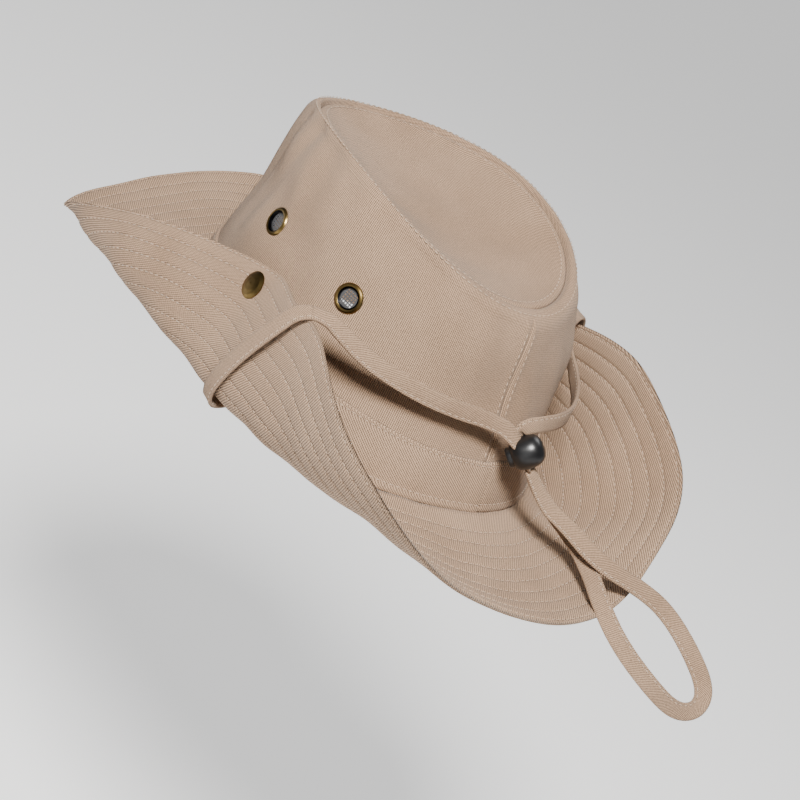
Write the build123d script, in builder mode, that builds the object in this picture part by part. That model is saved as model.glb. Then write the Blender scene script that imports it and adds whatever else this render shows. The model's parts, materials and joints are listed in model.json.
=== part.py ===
from build123d import *
from math import atan2, cos, hypot, pi, radians, sin, sqrt, tan
import os

# A side-snap boonie hat in cotton twill: crown, dished tip, hatband, sweatband, two-layer brim with
# two hinged side flaps, brass eyelets and snaps, and a chin tape with a sprung cord lock.
# Millimetres. The origin is the centre of the head opening, +X points forward and +Z up.

# ------------------------------------------------------------------ driving dimensions
crown_half_length = 100.0       # at the brim, for a 58 cm head
crown_half_width = 84.0
crown_bottom = -5.0             # the crown cloth ends just under the brim's inner edge
rim_height = 101.0              # mean height of the seam round the tip
rim_half_length = 79.0
rim_half_width = 62.0
rim_set_back = -12.7            # the tip sits behind the middle of the head opening
rim_front_fall = 3.6
rim_side_rise = 6.8
tip_dish = 16.0                 # how far the tip is sunk below its seam
cloth = 1.2                     # one layer of twill with its lining
base_wave = 3.7                 # the brim seam stands up at front and back by this
base_front_rise = 1.4

band_height = 26.6
sweatband_height = 28.0
sweatband_thickness = 1.0

brim_layer = 1.2
layer_gap = 0.08
hinge_y = 91.0                  # the straight line about which a side of the brim folds
fold_gap = 1.0
seam_gap = 0.15                 # degrees left open at the brim's back seam
tool_top = 90.0
flap_clearance = 0.5            # between a folded flap and the crown

eyelet_spacing = 55.6
eyelet_x = 1.8
eyelet_z = 61.7
snap_x = 0.0
snap_z = 38.5
snap_tilt = 18.0                # the snap's line leans this far above level
snap_turn = 12.0                # and is turned this far towards the back
stud_seat = 1.2                 # along the snap's line: the crown's cloth is flat from post to stud
post_seat = -2.3
socket_seat = 6.0               # and the flap's cloth is flat from socket to cap
cap_seat = 11.4

cap_radius = 6.7

tape_tube = 3.0
lock_centre = Vector(101.0, 4.0, 40.6)
tape_direction = Vector(0.45, 0.6, -0.66).normalized()

# The brim in section, at angles from the front (degrees). Each row: the angle, where the fold's
# corner lies (out, up), where the edge lies (out, up), how far the section swings towards the
# back, and how much higher the edge is on the left side.
brim_sections = [
    (0, 35, -10, 67, -1, 0, 0),
    (25, 32, -6, 63, 11, 0, 0),
    (45, 35, -7, 56, 43, 0, 0),
    (60, 32, -6, 29, 57, 2, 0),
    (75, 29, -2, 9, 57, 4, 0),
    (90, 27, -2, -7, 54.5, 6, 0),
    (105, 42, -2, 3, 47, 9, 0),
    (120, 56, -5, 31, 32, 8, 0),
    (135, 62, -9, 57, 9, 2, 3),
    (150, 54, -6, 72, -11, -2, 14),
    (165, 42, -3, 66, -4, -2, 16),
    (180, 34, 0, 65, 5, 0, 0),
]

# ------------------------------------------------------------------ shared shapes
def crown_outline(z):
    """Centre and half axes of the crown's outside at a height."""
    part_way = (z - crown_bottom) / (rim_height - crown_bottom)
    half_length = crown_half_length + (rim_half_length - crown_half_length) * part_way
    half_width = crown_half_width + (rim_half_width - crown_half_width) * part_way
    return rim_set_back * part_way, half_length, half_width


def crown_body(inset, low, high):
    """A solid with the crown's sloping sides, inset from the outside."""
    with BuildPart() as body:
        for z in (low, high):
            centre, half_length, half_width = crown_outline(z)
            with BuildSketch(Plane.XY.offset(z)):
                with Locations((centre, 0)):
                    Ellipse(half_length - inset, half_width - inset)
        loft()
    return body.part


def block_over(surface, top, low_x=-115.0, high_x=115.0, half_width=95.0):
    """Everything over a surface z = c0 + c1 x + c2 x^2 + k y^2, up to a height."""
    c0, c1, c2, k = surface
    with BuildPart() as block:
        steps = 5
        for i in range(steps):
            x = low_x + (high_x - low_x) * i / (steps - 1)
            middle = c0 + c1 * x + c2 * x * x
            rise = k * half_width ** 2
            with BuildSketch(Plane.YZ.offset(x)):
                with BuildLine():
                    Bezier((-half_width, middle + rise), (0, middle - rise), (half_width, middle + rise))
                    Line((half_width, middle + rise), (half_width, top))
                    Line((half_width, top), (-half_width, top))
                    Line((-half_width, top), (-half_width, middle + rise))
                make_face()
        loft()
    return block.part


def tip_surface(drop=0.0):
    """The dished tip, written about the rim's own centre and moved back to the part's frame."""
    c0 = rim_height - tip_dish - drop
    c1 = -rim_front_fall / rim_half_length
    c2 = (tip_dish - rim_side_rise) / rim_half_length ** 2
    k = (tip_dish + rim_side_rise) / rim_half_width ** 2
    x0 = rim_set_back
    return c0 - c1 * x0 + c2 * x0 * x0, c1 - 2 * c2 * x0, c2, k


def base_surface(lift=0.0):
    """The gently waved seam between crown and brim."""
    return (lift, base_front_rise / crown_half_length, base_wave / crown_half_length ** 2,
            -base_wave / crown_half_width ** 2)


def base_point(angle, side):
    """A point of the crown and brim seam; side is -1 on the right of the head, +1 on the left."""
    x = crown_half_length * cos(angle)
    y = crown_half_width * sin(angle)
    z = base_wave * cos(2 * angle) + base_front_rise * cos(angle)
    return Vector(x, side * y, z)


def section_plane(angle, swing, side):
    """A vertical plane standing out from the crown, with its x outwards and its y up."""
    heading = atan2(sin(angle) / crown_half_width, cos(angle) / crown_half_length) + swing
    out = Vector(cos(heading), side * sin(heading), 0)
    return Plane(origin=base_point(angle, side), x_dir=out, z_dir=out.cross(Vector(0, 0, 1)))


def brim_line(corner, edge, depth):
    """Three control points of a brim section, at a depth under its upper face."""
    start = (-4.0, -depth)
    lead = hypot(corner[0], corner[1])
    end_run = (edge[0] - corner[0], edge[1] - corner[1])
    end_length = hypot(*end_run)
    normal_in = (corner[1] / lead, -corner[0] / lead)
    normal_out = (end_run[1] / end_length, -end_run[0] / end_length)
    both = (normal_in[0] + normal_out[0], normal_in[1] + normal_out[1])
    scale = 2.0 / (both[0] ** 2 + both[1] ** 2)
    bend = (corner[0] + both[0] * scale * depth, corner[1] + both[1] * scale * depth)
    finish = (edge[0] + normal_out[0] * depth, edge[1] + normal_out[1] * depth)
    return start, bend, finish


def brim_stations():
    """Every section of the brim, from the back seam round by the right side and back by the left."""
    right = [(row, -1) for row in reversed(brim_sections)]
    left = [(row, 1) for row in brim_sections[1:]]
    return right + left


def brim_ring(top, bottom):
    """One layer of the whole brim, between two depths, cut to the crown's outside."""
    with BuildPart() as ring:
        for row, side in brim_stations():
            angle, corner_out, corner_up, edge_out, edge_up, swing, left_lift = row
            lift = left_lift if side > 0 else 0
            back_seam = seam_gap if side > 0 and angle == 180 else 0
            corner = (corner_out, corner_up)
            edge = (edge_out, edge_up + lift)
            over = brim_line(corner, edge, top)
            under = brim_line(corner, edge, bottom)
            with BuildSketch(section_plane(radians(angle - back_seam), radians(swing), side)):
                with BuildLine():
                    Bezier(*over)
                    Line(over[2], under[2])
                    Bezier(*reversed(under))
                    Line(under[0], over[0])
                make_face()
        loft()
        add(crown_body(0.0, -20.0, 40.0), mode=Mode.SUBTRACT)
    return ring.part


def flap_space(side, margin):
    """The space a flap is cut from: outside the hinge line, and over the fold beside the crown."""
    reach = 120.0
    y_line = hinge_y - margin
    with BuildPart() as space:
        with Locations((0, side * (y_line + reach / 2), 0)):
            Box(400, reach, 2 * tool_top)
        with Locations((-2.5, side * 77.0, (12.0 - margin + tool_top) / 2)):
            Box(145 + 2 * margin, 34.0 + 2 * margin, tool_top - 12.0 + margin)
    return space.part


def save(part, name):
    part.label = name
    export_step(part, f"parts/{name}.step")


def wall_plane(x, z, side):
    """A plane on the crown's outside, facing straight out of the cloth."""
    centre, half_length, half_width = crown_outline(z)
    height = rim_height - crown_bottom
    along = (x - centre) / half_length
    across = sqrt(1 - along ** 2)
    lean_x = along * (crown_half_length - rim_half_length) - rim_set_back
    lean_y = across * (crown_half_width - rim_half_width)
    normal = Vector(along / half_length, side * across / half_width,
                    (along * lean_x / half_length + across * lean_y / half_width) / height)
    return Plane(origin=(x, side * across * half_width, z), x_dir=(1, 0, 0), z_dir=normal.normalized())


def turned(profile, plane):
    """A turned piece: (radius, height) points spun about the plane's own z axis."""
    with BuildPart() as piece:
        with BuildSketch(Plane(origin=plane.origin, x_dir=plane.x_dir, z_dir=-plane.y_dir)):
            with BuildLine():
                Polyline(*profile, close=True)
            make_face()
        revolve(axis=Axis(plane.origin, plane.z_dir))
    return piece.part


# ------------------------------------------------------------------ crown, tip, bands
os.makedirs("parts", exist_ok=True)
eyelet_planes = {}
for side, hand in ((-1, "right"), (1, "left")):
    for end, offset_x in (("front", eyelet_spacing / 2), ("back", -eyelet_spacing / 2)):
        eyelet_planes[f"{hand}_{end}"] = wall_plane(eyelet_x + offset_x, eyelet_z, side)
snap_lines = {}
for side, hand in ((-1, "right"), (1, "left")):
    facing = Vector(-sin(radians(snap_turn)), side * cos(radians(snap_turn)), tan(radians(snap_tilt)))
    snap_lines[hand] = Plane(origin=wall_plane(snap_x, snap_z, side).origin,
                             x_dir=facing.cross(Vector(0, 0, 1)), z_dir=facing)


def at_height(plane, height):
    return Plane(origin=plane.origin + height * plane.z_dir, x_dir=plane.x_dir, z_dir=plane.z_dir)


def pinched(line, radius, low, high):
    """A disc-shaped space on a snap's line, for cloth that is pinched flat against the snap."""
    with BuildPart() as space:
        with BuildSketch(at_height(line, low)):
            Circle(radius)
        extrude(amount=high - low)
    return space.part

eyelet_hole = 4.9
stud_hole = 1.4
above_tip = block_over(tip_surface(), 180.0)
for hand, keep in (("right", Keep.TOP), ("left", Keep.BOTTOM)):
    with BuildPart() as panel:
        add(crown_body(0.0, crown_bottom, 125.0))
        add(crown_body(cloth, crown_bottom - 1, 126.0), mode=Mode.SUBTRACT)
        add(above_tip, mode=Mode.SUBTRACT)
        split(bisect_by=Plane.XZ, keep=keep)
        for name, plane in eyelet_planes.items():
            if name.startswith(hand):
                with Locations(plane):
                    Cylinder(eyelet_hole, 12, mode=Mode.SUBTRACT)
        add(pinched(snap_lines[hand], stud_hole, -6.0, 6.0), mode=Mode.SUBTRACT)
        add(pinched(snap_lines[hand], 5.8, stud_seat, 6.0), mode=Mode.SUBTRACT)
        add(pinched(snap_lines[hand], 5.3, -6.0, post_seat), mode=Mode.SUBTRACT)
    save(panel.part, f"crown_{hand}_panel")

with BuildPart() as tip:
    add(crown_body(cloth, 60.0, 125.0))
    add(above_tip, mode=Mode.SUBTRACT)
    add(block_over(tip_surface(cloth), 180.0), mode=Mode.INTERSECT)
save(tip.part, "crown_tip")

over_seam = block_over(base_surface(0.35), 60.0)
with BuildPart() as hatband:
    add(crown_body(-cloth, crown_bottom, band_height))
    add(crown_body(0.0, crown_bottom - 1, band_height + 1), mode=Mode.SUBTRACT)
    add(over_seam, mode=Mode.INTERSECT)
save(hatband.part, "hatband")

with BuildPart() as sweatband:
    add(crown_body(cloth, crown_bottom, crown_bottom + sweatband_height))
    add(crown_body(cloth + sweatband_thickness, crown_bottom - 1, crown_bottom + sweatband_height + 1),
        mode=Mode.SUBTRACT)
save(sweatband.part, "sweatband")

# ------------------------------------------------------------------ brim and its two side flaps
under_top = brim_layer + layer_gap
for layer, top, bottom in (("upper", 0.0, brim_layer), ("under", under_top, under_top + brim_layer)):
    ring = brim_ring(top, bottom)
    with BuildPart() as fixed:
        add(ring)
        for side in (-1, 1):
            add(flap_space(side, fold_gap), mode=Mode.SUBTRACT)
    save(fixed.part, f"brim_{layer}_layer")
    for side, hand in ((-1, "right"), (1, "left")):
        with BuildPart() as flap:
            add(ring)
            add(flap_space(side, 0.0), mode=Mode.INTERSECT)
            add(crown_body(-flap_clearance, -20.0, tool_top), mode=Mode.SUBTRACT)
            add(pinched(snap_lines[hand], stud_hole + 0.6, 0.0, 16.0), mode=Mode.SUBTRACT)
            add(pinched(snap_lines[hand], 6.6, 0.0, socket_seat), mode=Mode.SUBTRACT)
            add(pinched(snap_lines[hand], cap_radius + 0.5, cap_seat, 20.0), mode=Mode.SUBTRACT)
        save(flap.part, f"{hand}_flap_{layer}_layer")

# ------------------------------------------------------------------ eyelets: ring, washer, mesh
eyelet_radius = 6.8
eyelet_bore = 4.3
barrel_wall = 0.4
wall_back = -cloth - 0.45      # the cloth curves in behind a flat washer
for name, plane in eyelet_planes.items():
    barrel = eyelet_bore + barrel_wall
    ring_profile = [(eyelet_bore, wall_back - 0.6), (barrel, wall_back - 0.6), (barrel, 0.0),
                    (eyelet_radius, 0.0), (eyelet_radius - 0.4, 0.55), (5.8, 1.0), (5.1, 0.85),
                    (eyelet_bore, 0.3)]
    save(turned(ring_profile, plane), f"{name}_eyelet_ring")
    washer_profile = [(barrel, wall_back - 0.6), (6.4, wall_back - 0.5), (6.4, wall_back),
                      (barrel, wall_back)]
    save(turned(washer_profile, plane), f"{name}_eyelet_washer")
    with BuildPart() as mesh:
        with BuildSketch(Plane(origin=plane.origin - 0.9 * plane.z_dir, x_dir=plane.x_dir,
                               z_dir=plane.z_dir)):
            Circle(eyelet_bore)
            with GridLocations(1.3, 1.3, 5, 5):
                Rectangle(0.8, 0.8, mode=Mode.SUBTRACT)
        extrude(amount=0.25)
    save(mesh.part, f"{name}_eyelet_mesh")

# ------------------------------------------------------------------ snaps: cap and socket, stud and post
for hand, plane in snap_lines.items():
    post_profile = [(0.0, post_seat - 0.7), (5.0, post_seat - 0.5), (5.0, post_seat),
                    (stud_hole, post_seat), (stud_hole, 1.0), (0.0, 1.0)]
    save(turned(post_profile, plane), f"{hand}_snap_post")
    stud_profile = [(stud_hole, stud_seat), (5.5, stud_seat), (5.5, 1.8), (2.2, 1.8), (1.9, 2.4),
                    (2.3, 3.4), (1.6, 4.0), (stud_hole, 4.0)]
    save(turned(stud_profile, plane), f"{hand}_snap_stud")
    socket_profile = [(2.9, 2.3), (5.6, 2.3), (6.0, 2.8), (6.0, socket_seat), (1.7, socket_seat),
                      (1.7, 4.4), (2.9, 3.9)]
    save(turned(socket_profile, plane), f"{hand}_snap_socket")
    cap_profile = [(0.0, 4.6), (1.4, 4.6), (1.4, cap_seat), (cap_radius, cap_seat),
                   (cap_radius, cap_seat + 0.5), (5.2, cap_seat + 1.4), (3.0, cap_seat + 1.9),
                   (0.0, cap_seat + 2.1)]
    save(turned(cap_profile, plane), f"{hand}_snap_cap")

# ------------------------------------------------------------------ cord lock: body, plunger, spring
plunger_direction = Vector(-0.5, -0.73, -0.47)
plunger_direction = (plunger_direction
                     - tape_direction * plunger_direction.dot(tape_direction)).normalized()
stack_direction = tape_direction.cross(plunger_direction)
lock_plane = Plane(origin=lock_centre, x_dir=tape_direction, z_dir=plunger_direction)
slot_width = 2 * tape_tube + 1.0

body_profile = [(0.0, -9.5), (5.6, -9.5), (7.0, -8.3), (7.6, -6.0), (7.6, 2.8), (7.2, 4.4), (6.6, 5.0),
                (5.5, 5.0), (5.5, -8.3), (0.0, -8.3)]
with BuildPart() as lock_body:
    add(turned(body_profile, lock_plane))
    with BuildSketch(Plane(origin=lock_centre - 12 * tape_direction, x_dir=plunger_direction,
                           z_dir=tape_direction)):
        RectangleRounded(tape_tube + 1.0, slot_width, 1.2)
    extrude(amount=24, mode=Mode.SUBTRACT)
save(lock_body.part, "cord_lock_body")

plunger_profile = [(0.0, -3.6), (5.2, -3.6), (5.2, 7.6), (4.4, 8.5), (0.0, 8.5)]
with BuildPart() as lock_plunger:
    add(turned(plunger_profile, lock_plane))
    with BuildSketch(Plane(origin=lock_centre + 1.25 * plunger_direction - 12 * tape_direction,
                           x_dir=plunger_direction, z_dir=tape_direction)):
        RectangleRounded(tape_tube + 3.6, slot_width, 1.2)
    extrude(amount=24, mode=Mode.SUBTRACT)
save(lock_plunger.part, "cord_lock_plunger")

with BuildPart() as lock_spring:
    start = at_height(lock_plane, -8.0)
    with BuildLine():
        coil = Helix(pitch=1.1, height=4.1, radius=3.2, center=start.origin, direction=start.z_dir)
    with BuildSketch(Plane(origin=coil @ 0, z_dir=coil % 0)):
        Circle(0.25)
    sweep()
save(lock_spring.part, "cord_lock_spring")

# ------------------------------------------------------------------ chin tape
def tape_part(name, route):
    """A tube on straight runs joined by arcs as large as their runs allow."""
    points = [Vector(*p) for p in route]
    radii = []
    for before, here, after in zip(points, points[1:], points[2:]):
        first = here - before
        second = after - here
        turn = radians(first.get_angle(second))
        radii.append(0.45 * min(first.length, second.length) / tan(turn / 2))
    with BuildPart() as tape:
        with BuildLine():
            path = FilletPolyline(*points, radius=radii)
        with BuildSketch(Plane(origin=path @ 0, z_dir=path % 0)):
            Circle(tape_tube / 2)
        sweep()
    length = path.length
    expected = pi * tape_tube ** 2 / 4 * length
    runs = [(b - a).length for a, b in zip(points, points[1:])]
    print(name, "length", round(length, 1), "volume ratio", round(tape.part.volume / expected, 3))
    print("  radii", [round(r, 1) for r in radii], "runs", [round(r, 1) for r in runs])
    save(tape.part, name)


half_stack = stack_direction * (tape_tube / 2 + 0.2)


def through_lock(along, strand):
    """A point on one of the two strands, measured along the tape from the lock's centre."""
    return tuple(lock_centre + along * tape_direction + strand * half_stack)


for side, hand in ((-1, "right"), (1, "left")):
    end_route = [(11, 77, -9.5), (13, 82.5, -10.5), (15, 88, -10)]
    tape_part(f"tape_{hand}_end", [(x, side * y, z) for x, y, z in end_route])
tape_part("tape_right_wrap", [(17, -98, -8), (20, -103, 2), (24, -104.3, 14), (29, -104, 27),
                              (34, -103, 39), (38, -101.5, 49), (41, -98.5, 57), (44, -93, 61)])
tape_part("tape_left_wrap", [(16, 98, -8), (17, 103, 2), (18, 104, 14), (20, 103, 27), (22, 100.5, 39),
                             (24, 97, 49), (25, 93.5, 56.5), (27, 88, 60.5)])
tape_part("tape_right_run", [(44.8, -91.6, 60.7), (48, -86, 59.5), (54, -78, 56), (61, -69, 53),
                             (70, -58, 51), (79, -45, 49.5), (86, -31, 49), (91, -16, 49),
                             through_lock(-11, -1), through_lock(8, -1)])
tape_part("tape_left_run", [(27.8, 86.5, 60.3), (31, 80.5, 59.5), (38, 73, 57.5), (46, 66, 56),
                            (55, 59, 54.5), (64.5, 51, 53.3), (74, 43, 52), (84, 32, 51.5), (92, 19, 53),
                            (96.5, 8, 53.5), (96.5, 1, 51), through_lock(-9, 1), through_lock(8, 1)])
tape_part("tape_loop", [through_lock(8, -1), through_lock(26, -1), (124, 27, 21), (146, 33, 18),
                        (158.5, 51, 15.5), (168, 64, 11), (184, 72, 3), (197, 80, -8), (203, 74, -15),
                        (201, 62, -17), (193, 46, -9), (177, 33, 0), (161, 28, 8.5), (145, 33, 11.5),
                        (127, 34, 15.5), through_lock(26, 1), through_lock(8, 1)])
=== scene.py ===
import json
import math

import bpy
import numpy as np
from mathutils import Matrix, Vector


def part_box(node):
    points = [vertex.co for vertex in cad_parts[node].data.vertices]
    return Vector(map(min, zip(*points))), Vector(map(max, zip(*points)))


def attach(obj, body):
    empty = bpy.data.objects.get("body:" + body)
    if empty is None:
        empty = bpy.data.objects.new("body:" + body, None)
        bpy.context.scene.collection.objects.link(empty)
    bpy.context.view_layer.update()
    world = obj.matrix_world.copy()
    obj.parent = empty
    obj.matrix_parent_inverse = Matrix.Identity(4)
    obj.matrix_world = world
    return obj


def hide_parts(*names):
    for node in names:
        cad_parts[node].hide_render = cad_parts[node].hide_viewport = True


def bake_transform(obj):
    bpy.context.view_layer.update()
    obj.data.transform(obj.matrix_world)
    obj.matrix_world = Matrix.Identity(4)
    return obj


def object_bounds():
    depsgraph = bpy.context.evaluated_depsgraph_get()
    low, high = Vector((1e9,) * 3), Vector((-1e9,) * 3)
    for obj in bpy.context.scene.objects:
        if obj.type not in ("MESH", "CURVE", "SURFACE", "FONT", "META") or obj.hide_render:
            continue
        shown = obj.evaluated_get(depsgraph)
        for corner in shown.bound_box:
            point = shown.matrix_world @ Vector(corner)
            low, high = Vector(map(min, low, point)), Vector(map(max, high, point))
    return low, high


# Looks for the side-snap boonie hat: twill crown, dished tip, hatband, stitched brim, brass and tape.
# Lengths are in millimetres unless a name or comment says otherwise; meshes are written in metres.
# t is the angle round the crown, 0 at the front and positive on the left side, in radians.
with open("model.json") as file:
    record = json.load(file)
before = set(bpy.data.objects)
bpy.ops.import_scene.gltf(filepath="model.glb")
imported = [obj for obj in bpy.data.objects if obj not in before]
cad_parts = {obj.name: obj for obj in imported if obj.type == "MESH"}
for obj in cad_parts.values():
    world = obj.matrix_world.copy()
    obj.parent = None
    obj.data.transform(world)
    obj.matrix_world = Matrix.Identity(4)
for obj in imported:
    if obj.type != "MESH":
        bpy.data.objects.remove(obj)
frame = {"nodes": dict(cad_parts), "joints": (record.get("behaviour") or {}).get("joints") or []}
cad_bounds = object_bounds()
MM = 0.001

# ------------------------------------------------------------------ sizes, from the frame where it has them
panel_low, panel_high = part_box("crown_right_panel")
crown_half_length = panel_high[0] / MM
crown_half_width = -panel_low[1] / MM
crown_bottom = panel_low[2] / MM
rim_height = 101.0
rim_half_length = 79.0
rim_half_width = 62.0
rim_set_back = -12.7
rim_front_fall = 3.6            # the rim is this much lower in front, and higher at the back
rim_side_rise = 6.8             # and this much higher at the sides
rim_soft = 6.0                  # the wall starts to round over this far below the rim's corner
rim_round = 4.5                 # from the rim's corner in to the seam round the tip
tip_dish = 16.0
tip_seam_depth = 1.5            # the seam round the tip draws both its sides in
tip_radius = 70.0               # the tip's middling radius, for distances in from its seam
base_wave = 3.7                 # the crown's foot dips and rises round the head
base_front_rise = 1.4
band_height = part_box("hatband")[1][2] / MM
sweatband_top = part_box("sweatband")[1][2] / MM
crown_girth = 88.0              # millimetres of crown wall for each radian round it
seam_girth = 90.0               # the same beside the front and back seams
band_girth = 92.0               # the same for the hatband and the brim's foot
cloth = 1.2
brim_width = 71.0               # along the cloth, from the crown's foot to the edge
brim_thickness = 2.5
stitch_pitch = 3.1
eyelet_hole = 5.2               # cut in the cloth, under each eyelet's flange

# Creases in the crown's wall: angle, lean with height, width in radians, depth
creases = [
    (-2.36, 0.0022, 0.085, 2.0),
    (-2.08, 0.0026, 0.07, 1.3),
    (-0.62, -0.004, 0.09, 0.9),
    (2.3, -0.002, 0.09, 1.8),
    (0.7, 0.004, 0.08, 1.0),
]

# The crown stands fuller at its front left, ahead of the front eyelet; angles in radians
full_out = 5.5
full_angle = 0.72
full_ahead = 0.42
full_behind = 0.17
full_height = 68.0
full_tall = 24.0

# Brim sections: angle in degrees from the front, corner out and up, edge out and up, degrees that the
# section swings towards the back, and the left edge's extra height
brim_sections = [
    (0, 35, -10, 67, -1, 0, 0),
    (25, 32, -6, 63, 11, 0, 0),
    (45, 35, -7, 56, 43, 0, 1),
    (60, 31, -6, 26, 60, 2, 8),
    (75, 28, -2, 6, 58, 4, 8),
    (90, 27, -2, -7, 54.5, 6, 0),
    (105, 42, -2, 3, 47, 9, 0),
    (120, 56, -5, 31, 32, 8, 0),
    (135, 62, -9, 57, 9, 2, 3),
    (150, 54, -6, 72, -11, -2, 14),
    (165, 42, -3, 66, -4, -2, 16),
    (180, 34, 0, 65, 5, 0, 0),
]
stitch_rows = [1.8, 9.0, 16.3, 23.6, 30.9, 38.2, 45.5, 52.8, 60.1]      # in from the brim's edge
row_draw = 0.6                  # how far a stitch row draws each face of the brim in
row_half_width = 0.7


# ------------------------------------------------------------------ mesh helpers
def new_piece(name, points, faces, uv=None):
    """A smooth mesh object from points in millimetres; uv is one (u, v) per point, in millimetres."""
    mesh = bpy.data.meshes.new(name)
    mesh.from_pydata([tuple(p) for p in np.asarray(points, float) * MM], [], faces)
    if uv is not None:
        layer = mesh.uv_layers.new(name="cloth")
        corner = np.empty(len(mesh.loops), dtype=np.int64)
        mesh.loops.foreach_get("vertex_index", corner)
        layer.data.foreach_set("uv", np.asarray(uv, np.float32)[corner].ravel())
    mesh.polygons.foreach_set("use_smooth", [True] * len(mesh.polygons))
    mesh.update()
    piece = bpy.data.objects.new(name, mesh)
    bpy.context.collection.objects.link(piece)
    return piece


def grid_faces(rows, columns, wrap_rows=False, wrap_columns=False):
    """Quads of a grid whose points run row by row."""
    faces = []
    for i in range(rows if wrap_rows else rows - 1):
        for j in range(columns if wrap_columns else columns - 1):
            a = i * columns + j
            b = i * columns + (j + 1) % columns
            c = ((i + 1) % rows) * columns + (j + 1) % columns
            d = ((i + 1) % rows) * columns + j
            faces.append((a, b, c, d))
    return faces


def unit(v):
    return v / np.maximum(np.linalg.norm(v, axis=-1, keepdims=True), 1e-9)


def read_along(distances, along, values):
    """The rows of values, which belong to the distances in along, read at other distances."""
    return np.stack([np.interp(distances, along, values[:, k]) for k in range(3)], axis=-1)


def box_middle(node):
    low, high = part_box(node)
    return np.array([(a + b) / 2 for a, b in zip(low, high)]) / MM


def joint(name):
    return next(j for j in frame["joints"] if j["name"] == name)


def ripple(u, v, seed, size):
    """Smooth cloth unevenness of about one unit, over lengths of about size."""
    waves_summed = 9
    rng = np.random.default_rng(seed)
    total = np.zeros(np.broadcast(u, v).shape)
    for _ in range(waves_summed):
        heading = rng.uniform(0, math.pi)
        waves = 2 * math.pi / (size * rng.uniform(0.6, 1.9))
        phase = rng.uniform(0, 2 * math.pi)
        total = total + np.sin((u * math.cos(heading) + v * math.sin(heading)) * waves + phase)
    return total / 3.0


def twill_uv(u, v, angle):
    """Flat cloth coordinates turned by angle, the lie of the twill's ribs in that pattern piece."""
    return np.stack([u * math.cos(angle) + v * math.sin(angle),
                     -u * math.sin(angle) + v * math.cos(angle)], axis=-1)


# ------------------------------------------------------------------ stitches
# One stitch: corners as shares of its length, then millimetres across and out of the cloth
stitch_corners = [
    (-0.5, 0.0, -0.10), (-0.24, -0.26, 0.05), (-0.24, 0.0, 0.24), (-0.24, 0.26, 0.05),
    (0.24, -0.26, 0.05), (0.24, 0.0, 0.24), (0.24, 0.26, 0.05), (0.5, 0.0, -0.10),
]
stitch_faces = [
    (0, 2, 1), (0, 3, 2), (1, 2, 5, 4), (2, 3, 6, 5),
    (4, 5, 7), (5, 6, 7), (1, 4, 7, 0), (3, 0, 7, 6),
]
stitch_share = 0.74             # of each pitch is thread on top of the cloth


def stitch_mesh(lines):
    """Points and faces of sewn stitches; each line is (path points, normals at them)."""
    look = 0.6                  # the path's direction is read this far ahead and behind
    points = []
    faces = []
    for path, normals in lines:
        gaps = np.linalg.norm(np.diff(path, axis=0), axis=1)
        along = np.concatenate([[0.0], np.cumsum(gaps)])
        count = int(along[-1] / stitch_pitch)
        if count < 1:
            continue
        middles = (np.arange(count) + 0.5) * along[-1] / count
        at = read_along(middles, along, path)
        ahead = read_along(middles + look, along, path)
        behind = read_along(middles - look, along, path)
        tangent = unit(ahead - behind)
        normal = unit(read_along(middles, along, normals))
        across = unit(np.cross(normal, tangent))
        length = stitch_share * along[-1] / count
        for p, t, n, a in zip(at, tangent, normal, across):
            first = len(points)
            for x, y, z in stitch_corners:
                points.append(p + t * x * length + a * y + n * z)
            faces.extend(tuple(first + i for i in face) for face in stitch_faces)
    return points, faces


def stitching(name, lines):
    """A piece made of the stitches along the lines."""
    points, faces = stitch_mesh(lines)
    piece = new_piece(name, points, faces)
    piece.data.materials.append(thread)
    return piece


# ------------------------------------------------------------------ materials
def node_material(name):
    material = bpy.data.materials.new(name)
    material.use_nodes = True
    graph = material.node_tree
    return material, graph, graph.nodes["Principled BSDF"]


def object_place(graph):
    return graph.nodes.new("ShaderNodeTexCoord").outputs["Object"]


def add_noise(graph, place, scale, detail=2.0, roughness=0.5):
    noise = graph.nodes.new("ShaderNodeTexNoise")
    noise.inputs["Scale"].default_value = scale
    noise.inputs["Detail"].default_value = detail
    noise.inputs["Roughness"].default_value = roughness
    graph.links.new(place, noise.inputs["Vector"])
    return noise.outputs["Fac"]


def add_ribs(graph, place, direction, pitch, distortion, detail, detail_scale=1.0):
    """Wavering ribs across the direction, "X" or "Y"; Blender's wave turns 20 radians in one unit."""
    ribs = graph.nodes.new("ShaderNodeTexWave")
    ribs.bands_direction = direction
    ribs.inputs["Scale"].default_value = 2 * math.pi / (20 * pitch)
    ribs.inputs["Distortion"].default_value = distortion
    ribs.inputs["Detail"].default_value = detail
    ribs.inputs["Detail Scale"].default_value = detail_scale
    graph.links.new(place, ribs.inputs["Vector"])
    return ribs.outputs["Fac"]


def add_share(graph, value, share, rest):
    """share of value, added to rest."""
    total = graph.nodes.new("ShaderNodeMath")
    total.operation = "MULTIPLY_ADD"
    total.inputs[1].default_value = share
    graph.links.new(value, total.inputs[0])
    graph.links.new(rest, total.inputs[2])
    return total.outputs["Value"]


def add_ramp(graph, value, low, high, start=0.0, end=1.0):
    """From the colour low, where value is start, to the colour high, where it is end."""
    ramp = graph.nodes.new("ShaderNodeValToRGB")
    first, last = ramp.color_ramp.elements
    first.position = start
    first.color = (*low, 1)
    last.position = end
    last.color = (*high, 1)
    graph.links.new(value, ramp.inputs["Fac"])
    return ramp.outputs["Color"]


def add_range(graph, value, low, high):
    """value, which runs from 0 to 1, made to run from low to high."""
    mapped = graph.nodes.new("ShaderNodeMapRange")
    mapped.inputs["To Min"].default_value = low
    mapped.inputs["To Max"].default_value = high
    graph.links.new(value, mapped.inputs["Value"])
    return mapped.outputs["Result"]


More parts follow.
